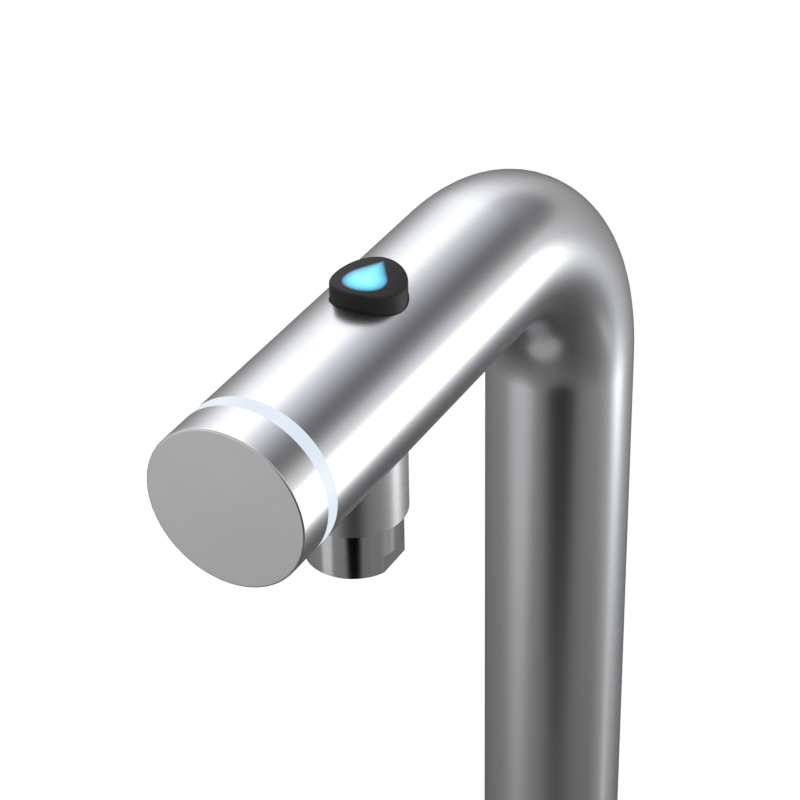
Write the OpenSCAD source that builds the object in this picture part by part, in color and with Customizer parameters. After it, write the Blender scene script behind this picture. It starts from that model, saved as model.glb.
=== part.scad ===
// Boiling water tap: one bent tube on a deck foot, a lit ring and cap at the spout's end,
// a press button on its crown and an outlet nozzle with an aerator below.
// Frame: origin on the deck, on the column's axis. +Z up, the spout points along -Y. Millimetres.

/* [Tube] */
// Outside diameter of the bent tube
tube_d = 40; // [37:0.5:46]
// Wall thickness of the bent tube
tube_wall = 1.5; // [1:0.1:2]
// Centreline radius of the bend
bend_r = 53.5; // [48:0.5:75]
// Height of the spout's axis above the deck
spout_h = 300; // [240:1:380]
// Length from the column's axis to the spout's end face
spout_len = 165; // [158:1:200]

/* [End cap and light ring] */
// Length of the end cap
cap_len = 10; // [8:0.5:14]
// Radius of the edge round the end face
cap_edge = 0.5; // [0.2:0.1:1]
// Thickness of the cap's front wall
cap_front = 3.5; // [2:0.5:5]
// Width of the light ring
ring_w = 4; // [3.5:0.5:7]
// Radial thickness of the light ring
ring_t = 3.8; // [3:0.1:4.2]
// Depth that the end plug goes into the tube
plug_depth = 18; // [12:1:24]
// Wall of the end plug's sleeve
plug_wall = 2.3; // [2:0.1:2.6]

/* [Button] */
// Diameter of the button
button_d = 18; // [15:0.5:20]
// Height of the button's crown over the tube's crown
button_rise = 4.5; // [3:0.1:7]
// Distance from the column's axis to the button's axis
button_reach = 101; // [98:1:108]
// Gap round the button in the tube's hole
button_gap = 0.2; // [0.15:0.05:0.4]
// Travel of the button
button_travel = 1; // [0.5:0.1:1.4]
// Wall of the button's shell
button_wall = 1.6; // [1.2:0.1:2]
// Thickness of the button's roof at its crown
button_roof = 3; // [2.4:0.1:3.5]
// Depth of the button's flange under the tube's inner crown
flange_drop = 7; // [6.6:0.1:7.6]
// Height of the room for the button's spring
spring_room = 5; // [4.6:0.1:5.6]
// Distance from the ends of the drop-shaped window to the wall of the button's cavity
window_margin = 0.3; // [0.2:0.1:2]
// Length of the window over its width
window_ratio = 1.34; // [1.2:0.02:1.8]
// Wire diameter of the button's spring
spring_wire = 0.7; // [0.5:0.1:0.9]
// Number of turns of the button's spring
spring_turns = 3.5; // [3:0.5:4]
// Thickness of the circuit boards
board_t = 1.2; // [0.8:0.1:1.6]

/* [Nozzle] */
// Distance from the column's axis to the nozzle's axis
nozzle_reach = 111; // [109:1:118]
// Diameter of the nozzle's collar
collar_d = 26.6; // [25:0.1:30]
// Length of the collar below the tube's underside
collar_drop = 13; // [8:0.5:20]
// Diameter of the aerator's housing
aerator_d = 24; // [23.5:0.1:24.8]
// Length of the aerator's housing
aerator_h = 13; // [12:0.5:16]
// Size of the aerator's spanner flats
aerator_af = 21.7; // [21.5:0.1:22.6]
// Height of the spanner flats
flat_h = 4.7; // [2:0.1:5.5]
// Width of the bevel round the aerator's mouth
aerator_edge = 0.1; // [0.1:0.1:0.4]
// Thickness of the aerator's rubber washer
aerator_washer_t = 1.5; // [1:0.1:2]
// Size of the straightener's cells across their flats
cell_af = 2.1; // [1.6:0.1:2.4]
// Wall between the straightener's cells
cell_wall = 0.5; // [0.4:0.1:0.8]

/* [Water way] */
// Outside diameter of the inner hose
hose_d = 11; // [9.5:0.5:12]
// Bore of the inner hose
hose_bore = 7; // [6:0.5:7.5]
// Length of the hose barbs
barb_l = 12; // [9:1:14]
// Diameter of the inlet stem
stem_d = 8; // [6:0.5:9]
// Length of inlet stem that stands free below the shank
stem_tail = 35; // [25:1:60]
// Diameter of the signal cable
cable_d = 3.5; // [2.5:0.1:4]
// Diameter of the light ring's cable
ring_cable_d = 2.4; // [1.6:0.1:2.6]

/* [Foot] */
// Diameter of the base ring
base_ring_d = 58; // [54:1:70]
// Height of the base ring
base_ring_h = 9; // [8:0.5:14]
// Thickness of the deck gasket
gasket_t = 1.5; // [1:0.1:2.5]
// Thickness of the foot's flange
foot_flange_t = 2.5; // [2:0.1:4]
// Depth that the foot goes into the column
foot_depth = 22; // [16:1:30]
// Thread diameter of the shank
shank_d = 32; // [30:0.5:33]
// Length of the shank below the deck
shank_len = 60; // [55:1:90]
// Bore of the shank
shank_bore = 25; // [24:0.5:26]
// Thickness of the worktop that is clamped
deck_t = 30; // [10:1:32]
// Thickness of the rubber washer under the worktop
rubber_washer_t = 3; // [2:0.5:4]
// Thickness of the steel washer
steel_washer_t = 2; // [1.5:0.5:3]
// Diameter of both washers
washer_d = 54; // [50:1:60]
// Size of the backnut across its flats
nut_af = 46; // [42:1:50]
// Height of the backnut
nut_h = 9; // [7:0.5:10]

/* [Hidden] */
$fn = 96;
cut = 0.5;          // how far a cutting shape runs past the face that it cuts
seat_gap = 0.1;     // radial clearance of a piece seated in another
slide_gap = 0.3;    // clearance between the button's flange and the tube
thread_gap = 0.1;   // radial clearance of a thread, drawn plain at its major diameter

tube_r = tube_d / 2;
bore_r = tube_r - tube_wall;
bend_z = spout_h - bend_r;

// Stations along the spout, measured from the column's axis
ring_front = spout_len - cap_len;
tube_end = ring_front - ring_w;
plug_back = tube_end - plug_depth;

// End plug and light ring
plug_r = bore_r - seat_gap;
plug_bore_r = plug_r - plug_wall;
plug_front_t = 3;
ring_r = tube_r - ring_t;
led_size = [1.2, 2.8, 1];
led_count = 8;
board_edge_r = ring_r - 0.2;
neck_r = board_edge_r - 2.9;
cap_bore_depth = cap_len - cap_front;
neck_l = cap_bore_depth - 0.3;
o_ring_t = 1.4;
cap_o_ring_r = (ring_r + tube_r) / 2;
plug_o_ring_s = plug_back + 0.45 * plug_depth;
plug_o_ring_r = bore_r - o_ring_t / 2 - 0.05;
ring_board_back = tube_end + 1.2;
ring_cable_r = neck_r + ring_cable_d / 2 + 0.2;

// Button, heights over the spout's axis
button_r = button_d / 2;
button_top_r = tube_r + button_rise;
button_roof_z = button_top_r - button_roof;
button_cavity_r = button_r - button_wall;
drop_l = 2 * (button_cavity_r - window_margin);
drop_w = drop_l / window_ratio;
button_flange_r = button_r + 1.5;
button_flange_z = bore_r - flange_drop;
well_r = button_flange_r + 0.5;
spring_r = (button_cavity_r + button_flange_r) / 2;
spring_seat_z = button_flange_z - spring_room;
ledge_r = spring_r - spring_wire / 2 - 0.3;
switch_h = 3.5;
board_top_z = spring_seat_z - switch_h;
board_bottom_z = board_top_z - board_t;
plunger_top_z = board_top_z + switch_h + button_travel + 0.1;
plunger_r = 1.75;
guide_disc_t = 1.2;
housing_w = well_r + 2;
housing_l = well_r + 3;
board_w = housing_w - 1;
seal_t = 1;
seal_z = button_flange_z + 1.6;
screw_r = 1;
screw_head_r = 1.9;
screw_head_h = 1.3;
screw_x = board_w - 2.4;
screw_y = housing_l - 2.4;

// Nozzle, heights over the spout's axis
collar_r = collar_d / 2;
collar_z = -(tube_r + collar_drop);
spigot_r = collar_r - 2.8;
spigot_top_z = -(bore_r - 3);
aerator_r = aerator_d / 2;
aerator_bottom_z = collar_z - aerator_h;
nipple_r = aerator_r - 1.1;
insert_flange_t = 1;
aerator_shoulder_z = aerator_bottom_z + flat_h + 0.9;
nipple_end_z = aerator_shoulder_z + insert_flange_t + aerator_washer_t;
insert_r = nipple_r - 1.4;
elbow_spigot_r = spigot_r - 3.05;
elbow_seal_t = 1;
elbow_flange_z = spigot_top_z + elbow_seal_t;
elbow_flange_t = 2;
elbow_r = 7;

// Water way
hose_r = hose_d / 2;
hose_z = board_bottom_z - screw_head_h - hose_r;
hose_bend_r = bend_r + hose_z;
barb_r = hose_bore / 2 - 0.05;
barb_count = 3;
clip_t = 0.8;
clip_w = 6;
elbow_face = nozzle_reach - 8;
water_r = 2.5;
hose_foot_z = -shank_len + 16;
stem_r = stem_d / 2;
stem_root_r = stem_r + 0.6;
stem_collar_r = stem_root_r + 0.6;
grommet_t = 8;

// Foot
foot_seat_z = gasket_t + foot_flange_t;
foot_top_z = foot_seat_z + foot_depth;
foot_flange_r = base_ring_d / 2 - 1.6;
shank_r = shank_d / 2;
shank_bore_r = shank_bore / 2;
washer_hole_r = shank_r + 0.4;
foot_screw_r = 1.5;
foot_screw_z = foot_seat_z + 2.4;

// Spacers that hold the hose in the middle of the column
spacer_count = 3;
spacer_t = 4;
spacer_step = (bend_z - foot_top_z) / (spacer_count + 1);
spacer_hub_r = hose_r + 2.5;
spacer_rim_r = bore_r - 1.7;
insulation_gap = 0.6;

// Signal cable: a route inside the column and the spout
cable_r = cable_d / 2;
cable_low_x = hose_r + clip_t + 0.5 + cable_r;
cable_high_x = (spacer_hub_r + spacer_rim_r) / 2;
insulation_r = cable_high_x - cable_r - 0.6;
socket_r = 3.1;
socket_top_z = -shank_len + 12;
cable_board_x = board_w - 3;
cable_end_z = spout_h + board_bottom_z + board_t / 2;
board_back = button_reach - housing_l;
board_front = button_reach + housing_l;

echo(spring_least_gap = (button_flange_z - spring_seat_z - spring_wire) / spring_turns - spring_wire);

// ---------------------------------------------------------------- helpers

// Places a child so that its +Z runs along the spout, at station s
module along_spout(s) {
    translate([0, -s, spout_h]) rotate([90, 0, 0]) children();
}

// Places a child on a vertical axis at station s, its z counted from the spout's axis
module over_spout(s) {
    translate([0, -s, spout_h]) children();
}

// A flat ring or sleeve standing on z = 0
module sleeve(outer, inner, h) {
    difference() {
        cylinder(r = outer, h = h);
        translate([0, 0, -cut]) cylinder(r = inner, h = h + 2 * cut);
    }
}

module o_ring(centre_r, section) {
    rotate_extrude() translate([centre_r, 0]) circle(d = section, $fn = 24);
}

// A round bar that runs up the column, round a bend in the YZ plane and out along the spout
module bent_bar(r, bend, low, high, reach) {
    translate([0, 0, low]) cylinder(r = r, h = high - low);
    translate([0, -bend, high]) rotate([0, 90, 0]) rotate([0, 0, 90])
        rotate_extrude(angle = 90) translate([bend, 0]) circle(r = r);
    translate([0, -bend, high + bend]) rotate([90, 0, 0]) cylinder(r = r, h = reach - bend);
}

// Hexagonal prism, its corners broken by a cone at each end
module hex_nut_blank(af, h, corner) {
    corner_r = af / 2 / cos(30);
    intersection() {
        cylinder(r = corner_r, h = h, $fn = 6);
        rotate_extrude() polygon([[0, 0], [af / 2, 0], [corner_r, corner],
            [corner_r, h - corner], [af / 2, h], [0, h]]);
    }
}

// Outline of a drop: a round belly and a point, centred on its own length
function drop_outline(w, l) =
    let (r = w / 2, tip = l - r, a = acos(r / tip), steps = 40)
    [for (i = [0 : steps]) let (t = 90 + a + i * (360 - 2 * a) / steps)
        [r * cos(t), r * sin(t) + r - l / 2], [0, l / 2]];

// Points and faces of a round tube swept along a route; ref is never parallel to the route
function unit(v) = v / norm(v);
function route_tangent(p, i) =
    unit(p[min(i + 1, len(p) - 1)] - p[max(i - 1, 0)]);
function tube_points(p, r, sides, ref) =
    [for (i = [0 : len(p) - 1])
        let (t = route_tangent(p, i), u = unit(cross(ref, t)), v = cross(t, u))
        for (k = [0 : sides - 1])
            p[i] + r * (cos(360 * k / sides) * u + sin(360 * k / sides) * v)];
function tube_faces(rings, sides) = concat(
    [for (k = [1 : sides - 2]) [0, k + 1, k]],
    [for (i = [0 : rings - 2], k = [0 : sides - 1], half = [0, 1])
        let (a = i * sides + k, b = i * sides + (k + 1) % sides, c = a + sides, d = b + sides)
        half == 0 ? [a, b, d] : [a, d, c]],
    [let (last = (rings - 1) * sides) for (k = [1 : sides - 2]) [last, last + k, last + k + 1]]);
module swept_tube(p, r, sides, ref) {
    polyhedron(tube_points(p, r, sides, ref), tube_faces(len(p), sides), convexity = 6);
}

// ---------------------------------------------------------------- tube

module spout_tube() {
    color("silver") difference() {
        bent_bar(tube_r, bend_r, foot_seat_z, bend_z, tube_end);
        bent_bar(bore_r, bend_r, foot_seat_z - cut, bend_z, tube_end + cut);
        over_spout(button_reach) cylinder(r = button_r + button_gap, h = tube_d);
        over_spout(nozzle_reach) translate([0, 0, -tube_d]) cylinder(r = spigot_r + seat_gap, h = tube_d);
        foot_screw_places() cylinder(r = foot_screw_r + seat_gap, h = tube_d);
    }
}

// ---------------------------------------------------------------- spout's end

module end_cap() {
    color("silver") along_spout(ring_front) difference() {
        rotate_extrude() polygon(concat([[0, 0], [tube_r, 0]],
            [for (t = [0 : 22.5 : 90]) [tube_r - cap_edge * (1 - cos(t)), cap_len - cap_edge * (1 - sin(t))]],
            [[0, cap_len]]));
        translate([0, 0, -cut]) cylinder(r = neck_r + thread_gap, h = cap_bore_depth + cut);
        translate([0, 0, -cut]) sleeve(cap_o_ring_r + 1, cap_o_ring_r - 1, o_ring_t - 0.1 + cut);
    }
}

module cap_o_ring() {
    color("black") along_spout(ring_front + o_ring_t / 2 - 0.05)
        o_ring(cap_o_ring_r, o_ring_t - 0.1);
}

module light_ring() {
    color([0.89, 0.93, 0.97]) along_spout(tube_end) sleeve(tube_r, ring_r, ring_w);
}

// Hollow sleeve in the tube, closed at its front, with the threaded neck that takes the cap
module end_plug() {
    color("dimgray") difference() {
        union() {
            along_spout(plug_back) cylinder(r = plug_r, h = plug_depth);
            along_spout(tube_end) cylinder(r = neck_r, h = ring_w + neck_l);
        }
        along_spout(plug_back - cut) cylinder(r = plug_bore_r, h = plug_depth - plug_front_t + cut);
        along_spout(plug_o_ring_s - o_ring_t / 2 - 0.2)
            sleeve(plug_r + cut, plug_o_ring_r - o_ring_t / 2 - 0.05, o_ring_t + 0.4);
        translate([-ring_cable_r, 0, 0]) along_spout(tube_end - plug_front_t - cut)
            cylinder(r = ring_cable_d / 2 + seat_gap, h = plug_front_t + 2 * cut);
    }
}

module plug_o_ring() {
    color("black") along_spout(plug_o_ring_s) o_ring(plug_o_ring_r, o_ring_t);
}

module ring_board() {
    color("white") along_spout(ring_board_back) sleeve(board_edge_r, neck_r + seat_gap, board_t);
}

module ring_leds() {
    color("lightyellow") along_spout(ring_board_back + board_t)
        for (i = [0 : led_count - 1]) rotate([0, 0, (i + 0.5) * 360 / led_count])
            translate([board_edge_r - led_size[0] - 0.2, -led_size[1] / 2, 0]) cube(led_size);
}

// Route of the light ring's cable, from the button's board to the ring's board
ring_cable_route = [
    [-6, -board_front - 0.05, cable_end_z],
    [-6, -board_front - 3, cable_end_z],
    [-9, -board_front - 9, cable_end_z - 0.6],
    [-0.9 * ring_cable_r, -plug_back + 1, spout_h + 0.4],
    [-ring_cable_r, -plug_back - 5, spout_h],
    [-ring_cable_r, -tube_end, spout_h],
    [-ring_cable_r, -ring_board_back, spout_h]];

module ring_cable() {
    color("white") swept_tube(ring_cable_route, ring_cable_d / 2, 8, [1, 0, 0]);
}

// ---------------------------------------------------------------- button

// Shell with a saddle roof that carries on the tube's curve, and a flange under the tube's wall
module button_cap() {
    color([0.16, 0.16, 0.16]) over_spout(button_reach) difference() {
        union() {
            intersection() {
                translate([0, 0, button_flange_z]) cylinder(r = button_r, h = button_top_r);
                rotate([90, 0, 0]) cylinder(r = button_top_r, h = 4 * button_r, center = true);
            }
            intersection() {
                translate([0, 0, button_flange_z]) cylinder(r = button_flange_r, h = tube_r);
                rotate([90, 0, 0]) cylinder(r = bore_r - slide_gap, h = 4 * button_r, center = true);
            }
        }
        translate([0, 0, button_flange_z - cut])
            cylinder(r = button_cavity_r, h = button_roof_z - button_flange_z + cut);
        linear_extrude(button_top_r + cut)
            polygon(drop_outline(drop_w + 2 * seat_gap, drop_l + 2 * seat_gap));
    }
}

// Clear piece: the drop in the roof, a disc under the roof and the rod that works the switch
module light_guide() {
    color([0.35, 0.85, 0.95]) over_spout(button_reach) {
        intersection() {
            translate([0, 0, button_roof_z - seat_gap]) linear_extrude(2 * button_roof)
                polygon(drop_outline(drop_w, drop_l));
            rotate([90, 0, 0]) cylinder(r = button_top_r, h = 4 * button_r, center = true);
        }
        translate([0, 0, button_roof_z - seat_gap - guide_disc_t])
            cylinder(r = button_cavity_r - seat_gap, h = guide_disc_t);
        translate([0, 0, plunger_top_z])
            cylinder(r = plunger_r, h = button_roof_z - seat_gap - guide_disc_t - plunger_top_z);
    }
}

spring_steps = 12;
spring_route = [for (i = [0 : spring_turns * spring_steps])
    let (a = 360 * i / spring_steps, share = i / (spring_turns * spring_steps))
    [spring_r * cos(a), spring_r * sin(a), spring_seat_z + spring_wire / 2 + 0.02
        + share * (button_flange_z - spring_seat_z - spring_wire - 0.04)]];

module button_spring() {
    color("silver") over_spout(button_reach) swept_tube(spring_route, spring_wire / 2, 6, [0, 0, 1]);
}

// Block bonded under the tube's crown: the button's well, the spring's ledge and the board's seat
module button_housing() {
    color("dimgray") over_spout(button_reach) difference() {
        intersection() {
            rotate([90, 0, 0]) cylinder(r = bore_r - seat_gap, h = 2 * housing_l, center = true);
            translate([-housing_w, -housing_l, board_top_z]) cube([2 * housing_w, 2 * housing_l, tube_r]);
        }
        translate([0, 0, spring_seat_z]) cylinder(r = well_r, h = tube_r);
        translate([0, 0, board_top_z - cut]) cylinder(r = ledge_r, h = tube_r);
        translate([0, 0, seal_z - seal_t / 2 - 0.1])
            sleeve(well_r + seal_t - 0.3, well_r - cut, seal_t + 0.2);
        board_screw_places() translate([0, 0, board_top_z - cut])
            cylinder(r = screw_r + seat_gap / 2, h = 4.5 + cut);
    }
}

module button_seal() {
    color("black") over_spout(button_reach) translate([0, 0, seal_z])
        o_ring(well_r + 0.15, seal_t);
}

module board_screw_places() {
    for (sx = [-1, 1], sy = [-1, 1]) translate([sx * screw_x, sy * screw_y, 0]) children();
}

module button_board() {
    color("darkgreen") over_spout(button_reach) difference() {
        translate([-board_w, -housing_l, board_bottom_z]) cube([2 * board_w, 2 * housing_l, board_t]);
        board_screw_places() translate([0, 0, board_bottom_z - cut])
            cylinder(r = screw_r + seat_gap, h = board_t + 2 * cut);
    }
}

module board_screws() {
    color("silver") over_spout(button_reach) board_screw_places() difference() {
        union() {
            translate([0, 0, board_bottom_z]) cylinder(r = screw_r, h = board_t + 4);
            translate([0, 0, board_bottom_z - screw_head_h]) cylinder(r = screw_head_r, h = screw_head_h);
        }
        translate([0, 0, board_bottom_z - screw_head_h - cut])
            cube([2.6, 0.5, 2 * cut + 0.4], center = true);
    }
}

module button_leds() {
    color("lightyellow") over_spout(button_reach) for (side = [-1, 1])
        translate([side * 5.6 - 0.6, -1, board_top_z]) cube([1.2, 2, 0.8]);
}

module switch_case() {
    color("black") over_spout(button_reach) difference() {
        translate([-3, -3, board_top_z]) cube([6, 6, switch_h]);
        translate([0, 0, board_top_z + 0.5]) cylinder(r = plunger_r + seat_gap, h = switch_h);
    }
}

module switch_plunger() {
    color("ivory") over_spout(button_reach) translate([0, 0, board_top_z + 0.5 + button_travel + 0.2])
        cylinder(r = plunger_r, h = plunger_top_z - board_top_z - 0.7 - button_travel);
}

// ---------------------------------------------------------------- nozzle

// Turned collar, saddled on the tube, with a spigot through its wall and a threaded nipple below
module nozzle_collar() {
    color("silver") over_spout(nozzle_reach) difference() {
        union() {
            difference() {
                translate([0, 0, collar_z]) cylinder(r = collar_r, h = -collar_z);
                rotate([90, 0, 0]) cylinder(r = tube_r + 0.05, h = 4 * collar_r, center = true);
            }
            translate([0, 0, collar_z]) cylinder(r = spigot_r, h = spigot_top_z - collar_z);
            translate([0, 0, nipple_end_z]) cylinder(r = nipple_r, h = collar_z - nipple_end_z);
        }
        translate([0, 0, nipple_end_z - cut])
            cylinder(r = elbow_spigot_r + thread_gap, h = spigot_top_z - nipple_end_z + 2 * cut);
    }
}

// Cup that screws on the nipple; two spanner flats are milled at its mouth
module aerator_housing() {
    color("gainsboro") over_spout(nozzle_reach) difference() {
        translate([0, 0, aerator_bottom_z]) rotate_extrude() polygon([[0, 0], [aerator_r - aerator_edge, 0],
            [aerator_r, aerator_edge], [aerator_r, aerator_h], [0, aerator_h]]);
        translate([0, 0, aerator_shoulder_z]) cylinder(r = nipple_r + thread_gap, h = aerator_h);
        translate([0, 0, aerator_bottom_z - cut]) cylinder(r = insert_r + seat_gap, h = aerator_h);
        for (side = [0, 180]) rotate([0, 0, side])
            translate([aerator_af / 2, -aerator_r, aerator_bottom_z - cut])
                cube([aerator_r, 2 * aerator_r, flat_h + cut]);
    }
}

module aerator_washer() {
    color("black") over_spout(nozzle_reach) translate([0, 0, aerator_shoulder_z + insert_flange_t])
        sleeve(nipple_r, elbow_spigot_r + thread_gap, aerator_washer_t);
}

// Insert with a honeycomb of through cells that straightens the jet
module flow_straightener() {
    body_h = aerator_shoulder_z - aerator_bottom_z - 0.5;
    pitch = cell_af + cell_wall;
    reach = insert_r - 0.7 - cell_af / 2 / cos(30);
    rows = ceil(insert_r / (pitch * sin(60)));
    color("whitesmoke") over_spout(nozzle_reach) translate([0, 0, aerator_shoulder_z]) difference() {
        union() {
            cylinder(r = nipple_r - seat_gap, h = insert_flange_t);
            translate([0, 0, -body_h]) cylinder(r = insert_r, h = body_h);
        }
        for (row = [-rows : rows], col = [-rows : rows])
            let (x = (col + (abs(row) % 2) / 2) * pitch, y = row * pitch * sin(60))
            if (norm([x, y]) < reach) translate([x, y, -body_h - cut]) rotate([0, 0, 30])
                cylinder(r = cell_af / 2 / cos(30), h = body_h + insert_flange_t + 2 * cut, $fn = 6);
    }
}

// Barb standing on z = 0, its teeth sloping up from a root
module hose_barb() {
    tooth = barb_l / barb_count;
    rotate_extrude() polygon(concat([[0, 0]],
        [for (i = [0 : barb_count - 1], k = [0, 1])
            [k == 0 ? barb_r : barb_r - 0.4, (i + k) * tooth]], [[0, barb_l]]));
}

// Elbow screwed in the collar: flange, threaded spigot and a barb that faces the column
module outlet_elbow() {
    color("goldenrod") difference() {
        union() {
            over_spout(nozzle_reach) {
                translate([0, 0, hose_z - 0.5]) cylinder(r = elbow_r, h = hose_r + 0.5);
                translate([0, 0, elbow_flange_z]) cylinder(r = elbow_r, h = hose_z - elbow_flange_z);
                translate([0, 0, elbow_flange_z])
                    cylinder(r = elbow_spigot_r + 2, h = elbow_flange_t);
                translate([0, 0, collar_z + 2])
                    cylinder(r = elbow_spigot_r, h = elbow_flange_z - collar_z - 2);
            }
            along_spout(elbow_face) translate([0, hose_z, 0])
                cylinder(r = hose_r, h = nozzle_reach - elbow_face);
            along_spout(elbow_face) translate([0, hose_z, 0]) mirror([0, 0, 1]) hose_barb();
        }
        over_spout(nozzle_reach) translate([0, 0, collar_z]) cylinder(r = water_r, h = hose_z - collar_z);
        along_spout(elbow_face - barb_l - cut) translate([0, hose_z, 0])
            cylinder(r = water_r, h = nozzle_reach - elbow_face + barb_l + cut);
    }
}

module elbow_seal() {
    color("saddlebrown") over_spout(nozzle_reach) translate([0, 0, spigot_top_z])
        sleeve(elbow_spigot_r + 2, elbow_spigot_r + seat_gap, elbow_seal_t);
}

// ---------------------------------------------------------------- water way

module inner_hose() {
    color([0.85, 0.82, 0.78, 0.9]) difference() {
        bent_bar(hose_r, hose_bend_r, hose_foot_z, bend_z, elbow_face - seat_gap);
        bent_bar(hose_bore / 2, hose_bend_r, hose_foot_z - cut, bend_z, elbow_face + cut);
    }
}

module hose_clip() {
    sleeve(hose_r + clip_t, hose_r + 0.05, clip_w);
    translate([-2, -hose_r - clip_t - 1.2, 0]) cube([4, 1.4, clip_w]);
}

module hose_clips() {
    color("silver") {
        translate([0, 0, hose_foot_z + 2]) hose_clip();
        along_spout(elbow_face - clip_w - 2) translate([0, hose_z, 0]) hose_clip();
    }
}

module hose_spacer() {
    sleeve(spacer_hub_r, hose_r + seat_gap, spacer_t);
    sleeve(bore_r - seat_gap, spacer_rim_r, spacer_t);
    for (a = [90, 210, 330]) rotate([0, 0, a]) translate([spacer_hub_r - 0.5, -1, 0.6])
        cube([spacer_rim_r - spacer_hub_r + 1.2, 2, spacer_t - 1.2]);
}

function spacer_z(k) = foot_top_z + k * spacer_step;

module hose_spacers() {
    color("ivory") for (k = [1 : spacer_count]) translate([0, 0, spacer_z(k)]) hose_spacer();
}

module hose_insulation() {
    color("gray") for (k = [1 : spacer_count - 1])
        translate([0, 0, spacer_z(k) + spacer_t + insulation_gap])
            sleeve(insulation_r, hose_r + seat_gap, spacer_step - spacer_t - 2 * insulation_gap);
}

// Route of the signal cable: up the shank, out between the spacers' spokes, round the bend
cable_bend_steps = 9;
signal_route = concat(
    [[cable_low_x, 0, socket_top_z + 0.02],
     [cable_low_x, 0, socket_top_z + 20],
     [cable_low_x, 0, foot_top_z],
     [cable_low_x + 0.15 * (cable_high_x - cable_low_x), 0, foot_top_z + 6],
     [cable_high_x - 0.15 * (cable_high_x - cable_low_x), 0, foot_top_z + 18],
     [cable_high_x, 0, foot_top_z + 24]],
    [for (k = [1 : spacer_count]) [cable_high_x, 0, spacer_z(k) + spacer_t / 2]],
    [for (i = [0 : cable_bend_steps]) let (a = 90 * i / cable_bend_steps)
        [cable_high_x, -bend_r * (1 - cos(a)), bend_z + bend_r * sin(a)]],
    [[cable_board_x + 1, -board_back + 14, spout_h + 0.5],
     [cable_board_x, -board_back + 4, cable_end_z],
     [cable_board_x, -board_back + 0.05, cable_end_z]]);

module signal_cable() {
    color("black") swept_tube(signal_route, cable_r, 8, [1, 0, 0]);
}

module signal_socket() {
    pin_spread = 1.3;
    color("black") translate([cable_low_x, 0, -shank_len - 4]) difference() {
        union() {
            cylinder(r = socket_r, h = socket_top_z + shank_len + 4);
            translate([0, 0, 2]) cylinder(r = socket_r + 0.6, h = 1.8);
        }
        for (a = [45 : 90 : 315]) rotate([0, 0, a]) translate([pin_spread, 0, -cut])
            cylinder(r = 0.5, h = 5 + cut);
    }
}

module shank_grommet() {
    color([0.12, 0.12, 0.12]) translate([0, 0, -shank_len]) difference() {
        cylinder(r = shank_bore_r - seat_gap, h = grommet_t);
        translate([0, 0, -cut]) cylinder(r = stem_root_r + seat_gap / 2, h = grommet_t + 2 * cut);
        translate([cable_low_x, 0, -cut]) cylinder(r = socket_r + seat_gap / 2, h = grommet_t + 2 * cut);
    }
}

// Plain stem for a push-fit hose: its root sits in the grommet, under a collar and a hose barb
module inlet_stem() {
    collar_h = hose_foot_z - seat_gap - (-shank_len + grommet_t);
    color("silver") difference() {
        union() {
            translate([0, 0, -shank_len - stem_tail]) rotate_extrude() polygon([[0, 0],
                [stem_r - 0.5, 0], [stem_r, 0.8], [stem_r, stem_tail + 0.1], [0, stem_tail + 0.1]]);
            translate([0, 0, -shank_len]) cylinder(r = stem_root_r, h = grommet_t + 0.1);
            translate([0, 0, -shank_len + grommet_t]) cylinder(r = stem_collar_r, h = collar_h);
            translate([0, 0, hose_foot_z - seat_gap]) hose_barb();
        }
        translate([0, 0, -shank_len - stem_tail - cut])
            cylinder(r = water_r, h = stem_tail + shank_len + hose_foot_z + barb_l + 2 * cut);
    }
}

// ---------------------------------------------------------------- foot

module foot_screw_places() {
    for (a = [90, 210, 330]) translate([0, 0, foot_screw_z]) rotate([0, 90, a]) children();
}

// Turned foot: spigot in the column, flange on the gasket and the threaded shank below the deck
module foot_shank() {
    color("goldenrod") difference() {
        union() {
            translate([0, 0, gasket_t]) cylinder(r = bore_r - seat_gap, h = foot_top_z - gasket_t);
            translate([0, 0, gasket_t]) cylinder(r = foot_flange_r, h = foot_flange_t);
            translate([0, 0, -shank_len]) rotate_extrude() polygon([[0, 0], [shank_r - 1, 0],
                [shank_r, 1], [shank_r, shank_len + gasket_t + 1], [0, shank_len + gasket_t + 1]]);
        }
        translate([0, 0, -shank_len - cut]) cylinder(r = shank_bore_r, h = shank_len + foot_top_z + 2 * cut);
        foot_screw_places() cylinder(r = foot_screw_r + seat_gap / 2, h = tube_d);
    }
}

module foot_screws() {
    color("silver") foot_screw_places() translate([0, 0, bore_r - 4]) difference() {
        cylinder(r = foot_screw_r, h = tube_wall + 3.9);
        translate([0, 0, tube_wall + 2.5]) cylinder(r = 0.75 / cos(30), h = 3, $fn = 6);
    }
}

// Cover ring over the foot's flange, with a rounded shoulder
module base_ring() {
    round_r = 2;
    color("silver") difference() {
        rotate_extrude() union() {
            square([base_ring_d / 2, base_ring_h - round_r]);
            square([base_ring_d / 2 - round_r, base_ring_h]);
            translate([base_ring_d / 2 - round_r, base_ring_h - round_r]) circle(r = round_r);
        }
        translate([0, 0, -cut]) cylinder(r = tube_r + seat_gap, h = base_ring_h + 2 * cut);
        translate([0, 0, -cut]) cylinder(r = foot_flange_r + seat_gap, h = foot_seat_z + 0.1 + cut);
    }
}

module deck_gasket() {
    color("black") sleeve(foot_flange_r, shank_r + seat_gap, gasket_t);
}

module rubber_washer() {
    color("black") translate([0, 0, -deck_t - rubber_washer_t])
        sleeve(washer_d / 2, washer_hole_r, rubber_washer_t);
}

module steel_washer() {
    color("silver") translate([0, 0, -deck_t - rubber_washer_t - steel_washer_t])
        sleeve(washer_d / 2, washer_hole_r, steel_washer_t);
}

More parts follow.
